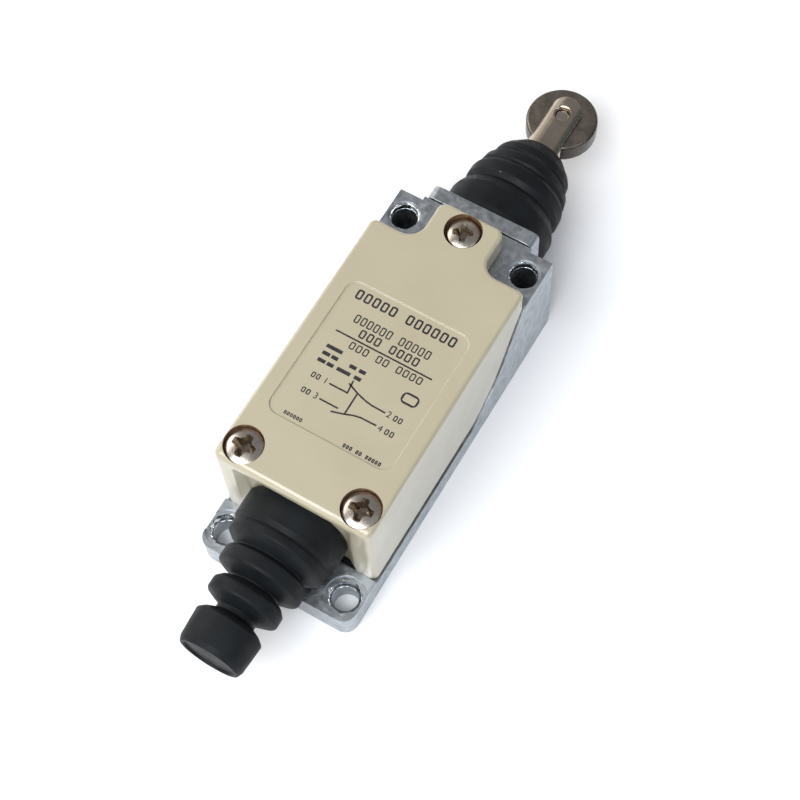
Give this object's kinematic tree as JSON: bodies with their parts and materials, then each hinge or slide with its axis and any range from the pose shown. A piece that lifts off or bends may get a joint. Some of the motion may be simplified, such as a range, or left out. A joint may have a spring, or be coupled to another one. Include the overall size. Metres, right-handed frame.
{
  "type": "limit switch",
  "caption": "Compact die-cast limit switch with a spring-loaded roller plunger in a bellows boot, a painted cover, sealed contact block and a stepped rubber cable boot.",
  "frame": {"origin": "on the flat mounting face at the back, midway between the four mounting holes", "axes": "+Z out of the front cover, +Y along the body towards the roller, +X to the right seen from the front"},
  "size_m": [0.028, 0.1159, 0.0244],
  "materials": {
    "cast_zinc": "satin",
    "beige_paint": "satin",
    "black_rubber": "matte",
    "nickel_steel": "polished",
    "spring_steel": "satin",
    "bronze": "satin",
    "brass": "satin",
    "black_phenolic": "matte",
    "white_nylon": "satin",
    "amber_lid": "gloss",
    "print_ink": "matte"
  },
  "bodies": {
    "root": {"base_housing": "cast_zinc", "cover": "beige_paint", "cover_gasket": "black_rubber", "cover_screw_top": "nickel_steel", "cover_screw_left": "nickel_steel", "cover_screw_right": "nickel_steel", "head_plate": "cast_zinc", "head_screw_left": "nickel_steel", "head_screw_right": "nickel_steel", "guide_bush": "bronze", "plunger_seal": "black_rubber", "plunger_boot": "black_rubber", "return_spring": "spring_steel", "overtravel_spring": "spring_steel", "carrier_spring": "spring_steel", "switch_case": "black_phenolic", "switch_lid": "amber_lid", "terminal_1": "brass", "terminal_2": "brass", "terminal_3": "brass", "terminal_4": "brass", "terminal_clamp_1": "nickel_steel", "terminal_clamp_2": "nickel_steel", "terminal_clamp_3": "nickel_steel", "terminal_clamp_4": "nickel_steel", "terminal_screw_1": "nickel_steel", "terminal_screw_2": "nickel_steel", "terminal_screw_3": "nickel_steel", "terminal_screw_4": "nickel_steel", "case_screw_left": "nickel_steel", "case_screw_right": "nickel_steel", "cable_boot": "black_rubber"},
    "plunger": {"plunger": "nickel_steel", "roller_pin": "nickel_steel"},
    "roller": {"roller": "nickel_steel"},
    "contact_carrier": {"contact_carrier": "white_nylon", "contact_bridge_closed": "brass", "contact_bridge_open": "brass", "contact_spring_closed": "spring_steel", "contact_spring_open": "spring_steel"}
  },
  "joints": [
    {"name": "plunger_slide", "type": "slide", "parent": "root", "child": "plunger", "axis": [0, -1, 0], "range_m": [0, 0.0055], "stiffness_N_per_m": 250, "springref_m": -0.006, "deforming": ["plunger_boot", "return_spring", "overtravel_spring"]},
    {"name": "roller_spin", "type": "hinge", "parent": "plunger", "child": "roller", "pos_m": [0, 0.0615, 0.01], "axis": [0, 0, 1], "continuous": true},
    {"name": "carrier_slide", "type": "slide", "parent": "root", "child": "contact_carrier", "axis": [0, -1, 0], "range_m": [0, 0.0021], "deforming": ["carrier_spring"]}
  ],
  "couplings": [
    {"joint": "carrier_slide", "follows": "plunger_slide", "ratio": 0.36364}
  ]
}
